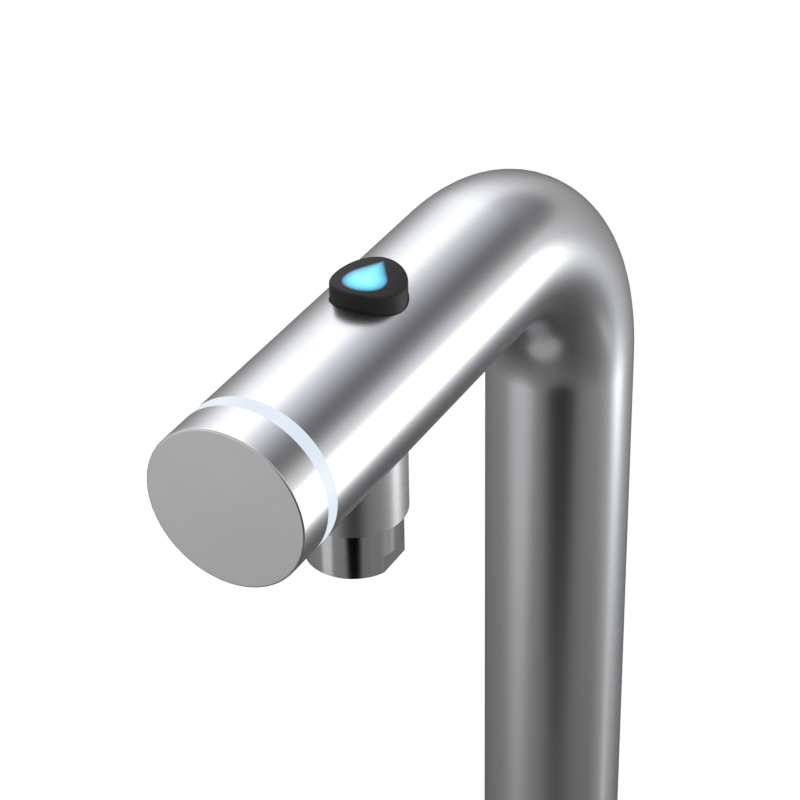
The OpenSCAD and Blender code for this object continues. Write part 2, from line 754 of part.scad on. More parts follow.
module backnut() {
    nut_z = -deck_t - rubber_washer_t - steel_washer_t - nut_h;
    color("goldenrod") translate([0, 0, nut_z]) difference() {
        hex_nut_blank(nut_af, nut_h, 1.6);
        translate([0, 0, -cut]) cylinder(r = shank_r + thread_gap, h = nut_h + 2 * cut);
    }
}

spout_tube();
end_cap();
light_ring();
end_plug();
cap_o_ring();
plug_o_ring();
ring_board();
ring_leds();
ring_cable();
button_cap();
light_guide();
button_spring();
button_housing();
button_seal();
button_board();
button_leds();
switch_case();
switch_plunger();
board_screws();
nozzle_collar();
aerator_housing();
aerator_washer();
flow_straightener();
outlet_elbow();
elbow_seal();
inner_hose();
hose_clips();
hose_spacers();
hose_insulation();
signal_cable();
signal_socket();
shank_grommet();
inlet_stem();
foot_shank();
foot_screws();
base_ring();
deck_gasket();
rubber_washer();
steel_washer();
backnut();
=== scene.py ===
# Boiling water tap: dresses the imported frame. Metres, +Z up, the spout points along -Y.
import math
import bmesh
import bpy
from mathutils import Matrix, Vector


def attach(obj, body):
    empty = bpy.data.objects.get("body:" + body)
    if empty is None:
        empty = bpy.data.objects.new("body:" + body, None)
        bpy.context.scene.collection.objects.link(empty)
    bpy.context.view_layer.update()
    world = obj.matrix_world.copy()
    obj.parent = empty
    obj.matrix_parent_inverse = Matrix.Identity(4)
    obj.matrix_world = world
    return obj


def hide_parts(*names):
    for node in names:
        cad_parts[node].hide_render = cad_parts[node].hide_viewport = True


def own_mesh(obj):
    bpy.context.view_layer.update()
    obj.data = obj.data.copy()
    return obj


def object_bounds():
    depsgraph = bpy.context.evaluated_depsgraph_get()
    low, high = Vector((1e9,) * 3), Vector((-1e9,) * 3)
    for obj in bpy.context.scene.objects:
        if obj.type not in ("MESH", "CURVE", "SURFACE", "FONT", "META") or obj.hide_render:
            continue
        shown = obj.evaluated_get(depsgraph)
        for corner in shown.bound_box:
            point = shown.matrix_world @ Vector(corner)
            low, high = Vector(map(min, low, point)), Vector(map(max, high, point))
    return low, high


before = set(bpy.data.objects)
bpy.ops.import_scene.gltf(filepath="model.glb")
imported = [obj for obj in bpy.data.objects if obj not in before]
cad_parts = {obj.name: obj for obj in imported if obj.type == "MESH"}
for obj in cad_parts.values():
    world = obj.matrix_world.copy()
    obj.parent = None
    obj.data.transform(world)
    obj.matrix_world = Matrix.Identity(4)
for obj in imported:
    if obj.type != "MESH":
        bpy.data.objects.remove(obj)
cadLow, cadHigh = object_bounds()
print("frame loaded:", len(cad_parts), "nodes")

mm = 0.001
tapSizes = {"spoutHeight": 300 * mm, "bendRadius": 53.5 * mm, "tubeRadius": 20 * mm,
            "buttonReach": 101 * mm, "nozzleReach": 111 * mm}

# the camera comes from a fit to the outlines of spout, bend and column in the photograph
photoCamera = {"focalPixels": 2738.52, "azimuth": 29.4899, "elevation": 33.4879, "roll": -1.10501,
               "photoWidth": 800,  # pixels
               "aim": (0, 0, tapSizes["spoutHeight"]),  # where the column's and the spout's axes cross
               "offset": (-0.042014, -0.057307, 0.706793)}  # from there: to the right, up and back


def makeCamera():
    azimuth, elevation, roll = (math.radians(photoCamera[k]) for k in ("azimuth", "elevation", "roll"))
    back = Vector((math.sin(azimuth) * math.cos(elevation), -math.cos(azimuth) * math.cos(elevation),
                   math.sin(elevation)))
    level = Vector((math.cos(azimuth), math.sin(azimuth), 0))
    rise = back.cross(level)
    right = level * math.cos(roll) + rise * math.sin(roll)
    up = rise * math.cos(roll) - level * math.sin(roll)
    data = bpy.data.cameras.new("photoCamera")
    data.lens = photoCamera["focalPixels"] / photoCamera["photoWidth"] * data.sensor_width
    data.clip_start = 10 * mm
    camera = bpy.data.objects.new("photoCamera", data)
    camera.matrix_world = Matrix((right, up, back)).transposed().to_4x4()
    shift = photoCamera["offset"]
    camera.location = Vector(photoCamera["aim"]) + right * shift[0] + up * shift[1] + back * shift[2]
    bpy.context.scene.collection.objects.link(camera)
    bpy.context.scene.camera = camera


makeCamera()
print("camera set")


def linear(hexCode):
    channels = [int(hexCode[i:i + 2], 16) / 255 for i in (1, 3, 5)]
    return tuple(c / 12.92 if c <= 0.04045 else ((c + 0.055) / 1.055) ** 2.4 for c in channels) + (1.0,)


def addNode(tree, kind, inputs, out=0, **settings):
    # adds one node with its settings and links, and gives back one of its outputs
    node = tree.nodes.new("ShaderNode" + kind)
    for name, value in settings.items():
        setattr(node, name, value)
    for name, value in inputs.items():
        if isinstance(value, bpy.types.NodeSocket):
            tree.links.new(value, node.inputs[name])
        else:
            node.inputs[name].default_value = value
    return node.outputs[out] if len(node.outputs) else None


def newMaterial(name):
    # an empty material, its tree, and the place on the piece from which its patterns start
    material = bpy.data.materials.new(name)
    material.use_nodes = True
    material.node_tree.nodes.clear()
    return material, material.node_tree, addNode(material.node_tree, "TexCoord", {}, "Object")


def finishSurface(tree, finish, mottle, grain, constants, gloss=None, span=(0.3, 0.7)):
    # how most materials end: the mottle blends the two colours and sets the roughness, unless a
    # gloss pattern does, and the grain stands out as relief. The span holds most of a pattern's values.
    ends = {"From Min": span[0], "From Max": span[1]}
    first, second = (linear(code) for code in finish["colours"])
    low, high = finish["rough"]
    shade = addNode(tree, "MapRange", {"Value": mottle, **ends})
    rough = low
    if high > low:
        rough = addNode(tree, "MapRange", {"Value": mottle if gloss is None else gloss, **ends,
                                           "To Min": low, "To Max": high})
    colour = addNode(tree, "Mix", {"Factor": shade, 6: first, 7: second}, 2, data_type="RGBA")
    relief = addNode(tree, "Bump", {"Height": grain, "Strength": 1.0, "Distance": finish["depth"]})
    shader = addNode(tree, "BsdfPrincipled", {"Base Color": colour, "Roughness": rough, "Normal": relief,
                                              **constants})
    addNode(tree, "OutputMaterial", {"Surface": shader})


satinFinish = {"colours": ("#cfcfd1", "#c9cacc"), "rough": (0.25, 0.27), "depth": 0.0002 * mm,
               "linePitch": 0.45 * mm, "lineReach": 33.3 * mm, "cloudSize": 45.5 * mm, "cloudShare": 0.45}


def satinStainless():
    # 304 stainless, satined with a belt across the bent tube: long soft bands of light. The real
    # scratches lie about 0.05 mm apart, too fine to show, so they are drawn 0.45 mm apart, very faint.
    material, tree, point = newMaterial("satinStainless")
    # the pattern follows the tube: x across it, y off its centreline, z along it, round the bend too
    radius, top = tapSizes["bendRadius"], tapSizes["spoutHeight"]
    axes = addNode(tree, "SeparateXYZ", {"Vector": point}).node.outputs
    fromY = addNode(tree, "Math", {0: axes["Y"], 1: radius}, operation="ADD")
    fromZ = addNode(tree, "Math", {0: axes["Z"], 1: radius - top}, operation="ADD")
    inY = addNode(tree, "Math", {0: fromY, 1: 0.0}, operation="MAXIMUM")
    inZ = addNode(tree, "Math", {0: fromZ, 1: 0.0}, operation="MAXIMUM")
    turned = addNode(tree, "Math", {0: inZ, 1: inY}, operation="ARCTAN2")
    downColumn = addNode(tree, "Math", {0: fromZ, 1: 0.0}, operation="MINIMUM")
    alongSpout = addNode(tree, "Math", {0: fromY, 1: 0.0}, operation="MINIMUM")
    straight = addNode(tree, "Math", {0: downColumn, 1: alongSpout}, operation="SUBTRACT")
    along = addNode(tree, "Math", {0: turned, 1: radius, 2: straight}, operation="MULTIPLY_ADD")
    arm = addNode(tree, "CombineXYZ", {"X": inY, "Y": inZ})
    armLength = addNode(tree, "VectorMath", {0: arm}, "Value", operation="LENGTH")
    off = addNode(tree, "Math", {0: armLength, 1: radius}, operation="SUBTRACT")
    flow = addNode(tree, "CombineXYZ", {"X": axes["X"], "Y": off, "Z": along})
    reach, pitch = satinFinish["lineReach"], satinFinish["linePitch"]
    drawn = addNode(tree, "Mapping", {"Vector": flow, "Scale": (1 / reach, 1 / reach, 1 / pitch)})
    lines = addNode(tree, "TexNoise", {"Vector": drawn, "Scale": 1.0, "Detail": 3.0, "Roughness": 0.65})
    clouds = addNode(tree, "TexNoise", {"Vector": flow, "Scale": 1 / satinFinish["cloudSize"],
                                        "Detail": 2.0})
    wiped = addNode(tree, "Mix", {"Factor": satinFinish["cloudShare"], 2: lines, 3: clouds})
    finishSurface(tree, satinFinish, wiped, lines, {"Metallic": 1.0})
    return material


turnedFinish = {"colours": ("#cfcfd0", "#cbcbcc"), "rough": (0.27, 0.285), "depth": 0.00015 * mm,
                "ringPitch": 0.4 * mm, "cloudSize": 16.7 * mm, "cloudShare": 0.6}


def turnedStainless(name, centre, axis):
    # the same steel off a lathe: fine rings about the piece's own axis. The real feed marks are
    # about 0.1 mm apart; they are drawn 0.4 mm apart so that they just show.
    material, tree, point = newMaterial(name)
    local = addNode(tree, "Mapping", {"Vector": point, "Location": tuple(-c for c in centre)})
    across = addNode(tree, "Mapping", {"Vector": local, "Scale": tuple(float(a != axis) for a in "XYZ")})
    reach = addNode(tree, "VectorMath", {0: across}, "Value", operation="LENGTH")
    along = addNode(tree, "SeparateXYZ", {"Vector": local}, axis)
    pair = addNode(tree, "CombineXYZ", {"X": reach, "Y": along})
    lines = addNode(tree, "TexNoise", {"Vector": pair, "Scale": 1 / turnedFinish["ringPitch"], "Detail": 2.0,
                                       "Roughness": 0.6})
    clouds = addNode(tree, "TexNoise", {"Vector": local, "Scale": 1 / turnedFinish["cloudSize"],
                                        "Detail": 2.0})
    worn = addNode(tree, "Mix", {"Factor": turnedFinish["cloudShare"], 2: lines, 3: clouds})
    finishSurface(tree, turnedFinish, worn, lines, {"Metallic": 1.0})
    return material


chromeFinish = {"colours": ("#cecfd0", "#cacbcd"), "rough": (0.06, 0.09), "depth": 0.0003 * mm,
                "smearLength": 16.7 * mm, "smearWidth": 2.5 * mm}


def polishedChrome():
    # chrome on brass, buffed to a near mirror: hard-edged stripes, with a trace of wipe marks round it
    material, tree, point = newMaterial("polishedChrome")
    length, width = chromeFinish["smearLength"], chromeFinish["smearWidth"]
    wiped = addNode(tree, "Mapping", {"Vector": point, "Scale": (1 / length, 1 / length, 1 / width)})
    smear = addNode(tree, "TexNoise", {"Vector": wiped, "Scale": 1.0, "Detail": 2.0})
    finishSurface(tree, chromeFinish, smear, smear, {"Metallic": 1.0})
    return material


brassFinish = {"colours": ("#cba764", "#a9803f"), "rough": (0.24, 0.42), "depth": 0.004 * mm,
               "cutPitch": 0.38 * mm, "stainSize": 9 * mm}


def turnedBrass():
    # free-cutting brass straight off the lathe: warm, with some tarnish and fine cuts, 0.15 mm apart
    # on a real piece and drawn 0.38 mm apart so that they show
    material, tree, point = newMaterial("turnedBrass")
    height = addNode(tree, "Mapping", {"Vector": point, "Scale": (0, 0, 1)})
    cuts = addNode(tree, "TexNoise", {"Vector": height, "Scale": 1 / brassFinish["cutPitch"], "Detail": 2.0})
    stain = addNode(tree, "TexNoise", {"Vector": point, "Scale": 1 / brassFinish["stainSize"], "Detail": 4.0,
                                       "Roughness": 0.6})
    finishSurface(tree, brassFinish, stain, cuts, {"Metallic": 1.0})
    return material


platedPattern = {"spangle": 1.11 * mm, "stainSize": 6.25 * mm, "stainShare": 0.6}
platedFinishes = {
    "brightStainless": {"colours": ("#cfd0d2", "#b0b1b4"), "rough": (0.2, 0.35), "depth": 0.003 * mm},
    "zincedWasher": {"colours": ("#bcbec2", "#96989c"), "rough": (0.3, 0.45), "depth": 0.003 * mm},
    "springWire": {"colours": ("#b9bbbd", "#8f9193"), "rough": (0.25, 0.4), "depth": 0.003 * mm}}


def platedSteel(name):
    # bright or plated steel, duller than the satined tube: a spangle of crystals, which are far finer
    # in truth and drawn 1.1 mm across so that they show
    material, tree, point = newMaterial(name)
    pattern = platedPattern
    spangle = addNode(tree, "TexVoronoi", {"Vector": point, "Scale": 1 / pattern["spangle"]}, "Distance")
    stain = addNode(tree, "TexNoise", {"Vector": point, "Scale": 1 / pattern["stainSize"], "Detail": 3.0})
    mixed = addNode(tree, "Mix", {"Factor": pattern["stainShare"], 2: spangle, 3: stain})
    finishSurface(tree, platedFinishes[name], mixed, spangle, {"Metallic": 1.0}, span=(0.2, 0.7))
    return material


wearSize = 7.7 * mm
plasticFinishes = {
    "charcoalAbs": {"colours": ("#2b2a29", "#272625"), "rough": (0.44, 0.58), "shine": 0.12,
                    "grain": 0.5 * mm, "depth": 0.004 * mm},
    "glassFilledNylon": {"colours": ("#1d1e20", "#17181a"), "rough": (0.44, 0.58), "shine": 0.5,
                         "grain": 0.35 * mm, "depth": 0.006 * mm},
    "whiteAcetal": {"colours": ("#dcdcd6", "#d0d0c8"), "rough": (0.34, 0.48), "shine": 0.5,
                    "grain": 0.35 * mm, "depth": 0.006 * mm},
    "pvcSheathBlack": {"colours": ("#1b1b1c", "#232324"), "rough": (0.39, 0.53), "shine": 0.5,
                       "grain": 0.6 * mm, "depth": 0.006 * mm},
    "pvcSheathWhite": {"colours": ("#dad9d4", "#cfcec8"), "rough": (0.39, 0.53), "shine": 0.5,
                       "grain": 0.6 * mm, "depth": 0.006 * mm},
    "vulcanisedFibre": {"colours": ("#7c3f22", "#5f2d17"), "rough": (0.54, 0.68), "shine": 0.5,
                        "grain": 0.35 * mm, "depth": 0.006 * mm}}


def mouldedPlastic(name):
    # injection moulding with a spark-eroded grain, which breaks up the highlight. The real grain is
    # about 0.1 mm; it is drawn several times as coarse so that it shows.
    finish = plasticFinishes[name]
    material, tree, point = newMaterial(name)
    grains = addNode(tree, "TexNoise", {"Vector": point, "Scale": 1 / finish["grain"], "Detail": 2.0,
                                        "Roughness": 0.6})
    wear = addNode(tree, "TexNoise", {"Vector": point, "Scale": 1 / wearSize, "Detail": 3.0})
    finishSurface(tree, finish, wear, grains, {"IOR": 1.5, "Specular IOR Level": finish["shine"]},
                  gloss=grains)
    return material


rubberPattern = {"bloomSize": 4.5 * mm, "poreSize": 0.4 * mm}
rubberFinishes = {
    "epdmRubber": {"colours": ("#202122", "#191a1b"), "rough": (0.65, 0.85), "depth": 0.01 * mm},
    "siliconeHose": {"colours": ("#d8cfbf", "#c6bba8"), "rough": (0.65, 0.85), "depth": 0.01 * mm}}


def mouldedRubber(name):
    # moulded or drawn rubber: matte, with a little bloom where it was handled. Its pores are drawn
    # 0.4 mm across, coarser than they are, so that they show.
    material, tree, point = newMaterial(name)
    pattern = rubberPattern
    bloom = addNode(tree, "TexNoise", {"Vector": point, "Scale": 1 / pattern["bloomSize"], "Detail": 4.0,
                                       "Roughness": 0.6})
    pores = addNode(tree, "TexNoise", {"Vector": point, "Scale": 1 / pattern["poreSize"], "Detail": 2.0})
    finishSurface(tree, rubberFinishes[name], bloom, pores, {"IOR": 1.5, "Specular IOR Level": 0.3})
    return material


ringGlow = {"body": "#4a4e52", "colours": ("#e6eef8", "#dfe9f5"), "lamps": 8, "strength": 0.88,
            "frostSize": 0.555 * mm, "frostDepth": 0.004 * mm}


def frostedAcrylic():
    # opal acrylic lit from inside: an even cool white, a touch brighter in front of each lamp. The
    # frosting is about 0.05 mm fine and drawn 0.5 mm so that it shows.
    material, tree, point = newMaterial("frostedAcrylic")
    local = addNode(tree, "Mapping", {"Vector": point, "Location": (0, 0, -tapSizes["spoutHeight"])})
    axes = addNode(tree, "SeparateXYZ", {"Vector": local}).node.outputs
    angle = addNode(tree, "Math", {0: axes["Z"], 1: axes["X"]}, operation="ARCTAN2")
    beats = addNode(tree, "Math", {0: angle, 1: float(ringGlow["lamps"])}, operation="MULTIPLY")
    wave = addNode(tree, "Math", {0: beats}, operation="COSINE")
    between = addNode(tree, "MapRange", {"Value": wave, "From Min": -1.0, "From Max": 1.0})
    first, second = (linear(code) for code in ringGlow["colours"])
    glow = addNode(tree, "Mix", {"Factor": between, 6: first, 7: second}, 2, data_type="RGBA")
    frost = addNode(tree, "TexNoise", {"Vector": point, "Scale": 1 / ringGlow["frostSize"], "Detail": 2.0})
    relief = addNode(tree, "Bump", {"Height": frost, "Strength": 1.0, "Distance": ringGlow["frostDepth"]})
    shader = addNode(tree, "BsdfPrincipled", {
        "Base Color": linear(ringGlow["body"]), "Roughness": 0.45, "Normal": relief, "IOR": 1.49,
        "Specular IOR Level": 0.3, "Emission Color": glow, "Emission Strength": ringGlow["strength"]})
    addNode(tree, "OutputMaterial", {"Surface": shader})
    return material


signGlow = {"body": "#0d3c4c", "strength": 0.93, "width": 10.6 * mm, "length": 14.2 * mm,
            "cloudSize": 3.03 * mm, "unevenness": 0.25, "rippleSize": 1.11 * mm, "rippleDepth": 0.002 * mm,
            # from the middle of the drop to its outline
            "stops": [(0.0, "#a4ffff"), (0.58, "#74f1fb"), (0.8, "#4dbfe0"), (0.89, "#2f9cc4"),
                      (0.94, "#0e4a62"), (1.0, "#072029")]}


def litPolycarbonate():
    # clear drop over two lamps: almost white cyan inside, bluer towards its outline, a dark teal rim
    material, tree, point = newMaterial("litPolycarbonate")
    belly = signGlow["width"] / 2
    lean = math.acos(belly / (signGlow["length"] - belly))  # where the round belly meets the straight flanks
    bellyCentre = belly - signGlow["length"] / 2
    flat = addNode(tree, "Mapping", {"Vector": point, "Scale": (1, 1, 0),
                                     "Location": (0, tapSizes["buttonReach"] - bellyCentre, 0)})
    folded = addNode(tree, "VectorMath", {0: flat}, operation="ABSOLUTE")
    fromCentre = addNode(tree, "VectorMath", {0: flat}, "Value", operation="LENGTH")
    fromAxis = addNode(tree, "VectorMath", {0: folded, 1: (math.sin(lean), math.cos(lean), 0)}, "Value",
                       operation="DOT_PRODUCT")
    across = addNode(tree, "SeparateXYZ", {"Vector": folded}, "X")
    along = addNode(tree, "SeparateXYZ", {"Vector": flat}, "Y")
    raised = addNode(tree, "Math", {0: along, 1: math.tan(lean)}, operation="MULTIPLY")
    byTip = addNode(tree, "Math", {0: raised, 1: across}, operation="GREATER_THAN")
    outward = addNode(tree, "Mix", {"Factor": byTip, 2: fromCentre, 3: fromAxis})
    inner = addNode(tree, "Math", {0: outward, 1: belly}, operation="DIVIDE")
    cloud = addNode(tree, "TexNoise", {"Vector": point, "Scale": 1 / signGlow["cloudSize"], "Detail": 1.0})
    uneven = addNode(tree, "MapRange", {"Value": cloud, "To Min": -signGlow["unevenness"],
                                        "To Max": signGlow["unevenness"]})
    depth = addNode(tree, "Math", {0: 1.0, 1: inner}, operation="SUBTRACT")  # the rim stays even
    place = addNode(tree, "Math", {0: uneven, 1: depth, 2: inner}, operation="MULTIPLY_ADD")
    glow = addNode(tree, "ValToRGB", {"Fac": place})
    stops = glow.node.color_ramp.elements
    (stops[0].position, first), (stops[1].position, last) = signGlow["stops"][0], signGlow["stops"][-1]
    stops[0].color, stops[1].color = linear(first), linear(last)
    for position, colour in signGlow["stops"][1:-1]:
        stops.new(position).color = linear(colour)
    ripple = addNode(tree, "TexNoise", {"Vector": point, "Scale": 1 / signGlow["rippleSize"], "Detail": 2.0})
    relief = addNode(tree, "Bump", {"Height": ripple, "Strength": 1.0, "Distance": signGlow["rippleDepth"]})
    shader = addNode(tree, "BsdfPrincipled", {
        "Base Color": linear(signGlow["body"]), "Roughness": 0.2, "Normal": relief, "IOR": 1.58,
        "Specular IOR Level": 0.3, "Emission Color": glow, "Emission Strength": signGlow["strength"]})
    addNode(tree, "OutputMaterial", {"Surface": shader})
    return material


threadPitch = 0.5556 * mm
boardFinishes = {
    "greenBoard": {"colours": ("#155c33", "#0d4526"), "rough": (0.3, 0.3), "depth": 0.004 * mm},
    "whiteBoard": {"colours": ("#d9d9d4", "#c4c4bd"), "rough": (0.3, 0.3), "depth": 0.004 * mm}}


def glassBoard(name):
    # solder mask over glass cloth: the weave shows through as a fine grid at about its real pitch
    material, tree, point = newMaterial(name)
    weave = addNode(tree, "TexBrick", {"Vector": point, "Scale": 0.5 / threadPitch, "Brick Width": 0.5,
                                       "Mortar Size": 0.08}, "Fac")
    finishSurface(tree, boardFinishes[name], weave, weave, {"IOR": 1.5}, span=(0.0, 1.0))
    return material


lampGlow = {"colours": ("#f2e38a", "#d9c25a"), "strength": 0.6, "grain": 0.667 * mm}


def lampPhosphor():
    # yellow phosphor under a clear drop of silicone, its fine grain drawn 0.7 mm across so that it shows
    material, tree, point = newMaterial("lampPhosphor")
    grain = addNode(tree, "TexNoise", {"Vector": point, "Scale": 1 / lampGlow["grain"], "Detail": 2.0})
    first, second = (linear(code) for code in lampGlow["colours"])
    colour = addNode(tree, "Mix", {"Factor": grain, 6: first, 7: second}, 2, data_type="RGBA")
    shader = addNode(tree, "BsdfPrincipled", {
        "Base Color": colour, "Roughness": 0.2, "IOR": 1.45, "Emission Color": colour,
        "Emission Strength": lampGlow["strength"]})
    addNode(tree, "OutputMaterial", {"Surface": shader})
    return material


foamFinish = {"colours": ("#2a2b2d", "#4a4b4e"), "rough": (0.9, 0.9), "depth": 0.08 * mm,
              "poreSize": 0.7 * mm}


def foamSleeve():
    # closed-cell foam: dark grey, with pores at their real size
    material, tree, point = newMaterial("foamSleeve")
    pores = addNode(tree, "TexVoronoi", {"Vector": point, "Scale": 1 / foamFinish["poreSize"]}, "Distance")
    finishSurface(tree, foamFinish, pores, pores, {"Specular IOR Level": 0.2}, span=(0.1, 0.7))
    return material


meshRules = {"weld": 0.001 * mm,  # points nearer than this are one
             "close": 0.01 * mm,  # measures that differ by less are the same
             "sameWay": 0.99,  # cosine of a face to the true normal beside it
             "square": 0.9999,  # the same for a face square to the axis
             "blendTurn": 13,  # degrees from the flat or the wall within which a face takes its normal
             "crease": 23.5}  # a spanner flat starts with a greater turn, and the cap's rounding turns less


def newPiece(name, build, material, body, replaced):
    mesh = bpy.data.meshes.new(name)
    build.to_mesh(mesh)
    build.free()
    if "custom_normal" in mesh.attributes:
        mesh.attributes.remove(mesh.attributes["custom_normal"])
    for face in mesh.polygons:
        face.use_smooth = True
        face.material_index = 0
    mesh.materials.append(material)
    piece = bpy.data.objects.new(name, mesh)
    bpy.context.scene.collection.objects.link(piece)
    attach(piece, body)
    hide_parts(replaced)
    return piece


def sharpen(piece, degrees):
    # smooth shading, with crisp lines where two faces turn by more than this
    build = bmesh.new()
    build.from_mesh(piece.data)
    for edge in build.edges:
        edge.smooth = edge.calc_face_angle(0.0) < math.radians(degrees)
    build.to_mesh(piece.data)
    build.free()


def smoothCopy(name, node, material):
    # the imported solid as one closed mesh, so that no seam shows in its reflections
    build = bmesh.new()
    build.from_mesh(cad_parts[node].data)
    bmesh.ops.remove_doubles(build, verts=build.verts, dist=meshRules["weld"])
    piece = newPiece(name, build, material, "tap", node)
    sharpen(piece, meshRules["crease"])
    return piece


def makeTube(material):
    # every point of the outer skin gets the bent tube's true normal
    piece = smoothCopy("bentTube", "spout_tube", material)
    bend, top, skin = tapSizes["bendRadius"], tapSizes["spoutHeight"], tapSizes["tubeRadius"]
    mesh = piece.data
    normals = [Vector()] * len(mesh.loops)  # a zero leaves a corner as it is
    for face in mesh.polygons:
        for corner in face.loop_indices:
            point = mesh.vertices[mesh.loops[corner].vertex_index].co
            arm = Vector((0, max(point.y + bend, 0), max(point.z - top + bend, 0)))
            outward = arm.normalized() * (arm.length - bend) + Vector((point.x, 0, 0))
            along = face.normal.dot(outward.normalized())
            if abs(outward.length - skin) < meshRules["close"] and along > meshRules["sameWay"]:
                normals[corner] = outward.normalized()
    mesh.normals_split_custom_set(normals)


def makeTurned(name, node, material, centre, axis):
    # a turned piece: its flat faces and round walls keep their true normals, so that only its
    # rounded edges blend from one to the other
    piece = smoothCopy(name, node, material)
    centre, axis = Vector(centre), Vector([float(letter == axis) for letter in "XYZ"])
    mesh = piece.data
    near = math.cos(math.radians(meshRules["blendTurn"]))
    square, sameWay = meshRules["square"], meshRules["sameWay"]
    normals = [Vector()] * len(mesh.loops)
    flats, walls = {}, {}
    for face in mesh.polygons:
        for vertex in face.vertices:
            out = mesh.vertices[vertex].co - centre
            out = (out - axis * out.dot(axis)).normalized()
            if abs(face.normal.dot(axis)) > square:
                flats[vertex] = axis * math.copysign(1, face.normal.dot(axis))
            elif abs(face.normal.dot(axis)) < 1 - square and abs(face.normal.dot(out)) > sameWay:
                walls[vertex] = out * math.copysign(1, face.normal.dot(out))
    for face in mesh.polygons:
        for corner in face.loop_indices:
            vertex = mesh.loops[corner].vertex_index
            for known in (flats.get(vertex), walls.get(vertex)):
                if known is not None and face.normal.dot(known) > near:
                    normals[corner] = known
    mesh.normals_split_custom_set(normals)


# heights are above the spout's axis
buttonShape = {"radius": 9 * mm, "crown": 24.5 * mm, "rim": 0.55 * mm, "rimSteps": 5, "roof": 3 * mm,
               "roofRings": 9, "lastRing": 1.6,  # the outermost ring's distance from the wall, in rim radii
               "cavity": 7.4 * mm, "flange": 10.5 * mm, "flangeBottom": 11.5 * mm, "flangeCrown": 18.2 * mm,
               "windowWidth": 10.8 * mm, "windowLength": 14.4 * mm, "windowSteps": 96, "overcut": 1 * mm,
               "turns": 128, "crease": 32}


def dropCutter(centre, low, high):
    # a round belly drawn out to a point, like the light guide's own outline
    width, length = buttonShape["windowWidth"], buttonShape["windowLength"]
    radius = width / 2
    tip = length - radius
    lean = math.acos(radius / tip)
    build = bmesh.new()
    bmesh.ops.create_circle(build, cap_ends=True, segments=buttonShape["windowSteps"], radius=radius)
    for vert in build.verts:
        turn = math.atan2(vert.co.x, vert.co.y)  # from the point's direction
        if abs(turn) < lean:
            share = abs(turn) / lean
            side = math.copysign(1, turn) if turn else 1
            vert.co.x = side * radius * math.sin(lean) * share
            vert.co.y = tip + (radius * math.cos(lean) - tip) * share
    bmesh.ops.translate(build, vec=centre + Vector((0, radius - length / 2, low)), verts=build.verts)
    grown = bmesh.ops.extrude_face_region(build, geom=build.faces[:])["geom"]
    raised = [item for item in grown if isinstance(item, bmesh.types.BMVert)]
    bmesh.ops.translate(build, vec=(0, 0, high - low), verts=raised)
    bmesh.ops.recalc_face_normals(build, faces=build.faces)
    return build


def makeButton(material):
    # the shell is spun as a flat-topped cup, then its roof and flange are bent to the tube's curve
    shape = buttonShape
    centre = Vector((0, -tapSizes["buttonReach"], tapSizes["spoutHeight"]))
    radius, crown, rim = shape["radius"], shape["crown"], shape["rim"]
    under = crown - shape["roof"]
    rings = shape["roofRings"]
    profile = [(radius * k / (rings + 1), crown) for k in range(rings)]
    profile.append((radius - shape["lastRing"] * rim, crown))
    for k in range(shape["rimSteps"] + 1):
        a = math.pi / 2 * k / shape["rimSteps"]
        profile.append((radius - rim + rim * math.sin(a), crown - rim + rim * math.cos(a)))
    profile += [(radius, under), (radius, shape["flangeCrown"]), (shape["flange"], shape["flangeCrown"]),
                (shape["flange"], shape["flangeBottom"]), (shape["cavity"], shape["flangeBottom"]),
                (shape["cavity"], under), (0, under)]
    build = bmesh.new()
    verts = [build.verts.new(centre + Vector((r, 0, z))) for r, z in profile]
    edges = [build.edges.new(pair) for pair in zip(verts, verts[1:])]
    bmesh.ops.spin(build, geom=verts + edges, cent=centre, axis=(0, 0, 1), angle=math.tau,
                   steps=shape["turns"], use_merge=True)
    bmesh.ops.remove_doubles(build, verts=build.verts, dist=meshRules["weld"])
    bmesh.ops.recalc_face_normals(build, faces=build.faces)
    for vert in build.verts:
        height, x = vert.co.z - centre.z, vert.co.x
        if height > under + meshRules["close"]:
            vert.co.z += math.sqrt(crown ** 2 - x ** 2) - crown
        elif abs(height - shape["flangeCrown"]) < meshRules["close"]:
            vert.co.z = centre.z + math.sqrt(shape["flangeCrown"] ** 2 - x ** 2)
    piece = newPiece("buttonShell", build, material, "button", "button_cap")
    cutter = dropCutter(centre, under - shape["overcut"], crown + shape["overcut"])
    cutMesh = bpy.data.meshes.new("dropCutter")
    cutter.to_mesh(cutMesh)
    cutter.free()
    cutObject = bpy.data.objects.new("dropCutter", cutMesh)
    bpy.context.scene.collection.objects.link(cutObject)
    window = piece.modifiers.new("window", "BOOLEAN")
    window.operation, window.solver, window.object = "DIFFERENCE", "EXACT", cutObject
    cutShell = bpy.data.meshes.new_from_object(piece.evaluated_get(bpy.context.evaluated_depsgraph_get()))
    piece.modifiers.clear()
    piece.data = cutShell
    cutShell.name = "buttonShell"
    bpy.data.objects.remove(cutObject)
    sharpen(piece, shape["crease"])


springShape = {"radius": 8.95 * mm, "wire": 0.7 * mm, "turns": 3.5, "height": 4.96 * mm,
               "foot": tapSizes["spoutHeight"] + 6.52 * mm, "travel": 1 * mm, "sides": 12, "steps": 24,
               "crease": 40}


